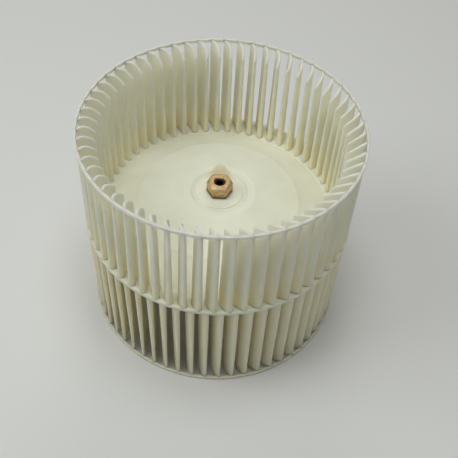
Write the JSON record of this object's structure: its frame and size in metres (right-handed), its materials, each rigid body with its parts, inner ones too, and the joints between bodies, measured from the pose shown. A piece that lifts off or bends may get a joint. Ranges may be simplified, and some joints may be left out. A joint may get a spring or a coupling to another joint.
{
  "type": "blower motor wheel",
  "caption": "Double-inlet forward-curved blower wheel: two moulded blade tiers on a dished web disc, with a brass hexagonal hub insert for a flatted motor shaft.",
  "frame": {"origin": "on the spin axis, in the plane of the lower ring's outer face, on which the wheel stands", "axes": "+Z along the spin axis from the motor side to the hub head, +Y towards the flat of the D-shaped bore and the set screw"},
  "size_m": [0.1524, 0.1524, 0.129],
  "materials": {
    "wheel_plastic": "ivory moulded plastic, soft gloss",
    "boss_plastic": "ivory moulded plastic, soft gloss",
    "insert_brass": "turned brass, slightly dull",
    "screw_steel": "black oxide"
  },
  "bodies": {
    "wheel": {"upper_tier": "wheel_plastic", "lower_tier": "wheel_plastic", "web_disc": "wheel_plastic", "hub_boss": "boss_plastic", "hub_insert": "insert_brass"},
    "set_screw": {"set_screw": "screw_steel"}
  },
  "joints": [
    {"name": "set_screw_travel", "type": "slide", "parent": "wheel", "child": "set_screw", "axis": [0, 1, 0], "range_m": [0, 0.003]}
  ]
}
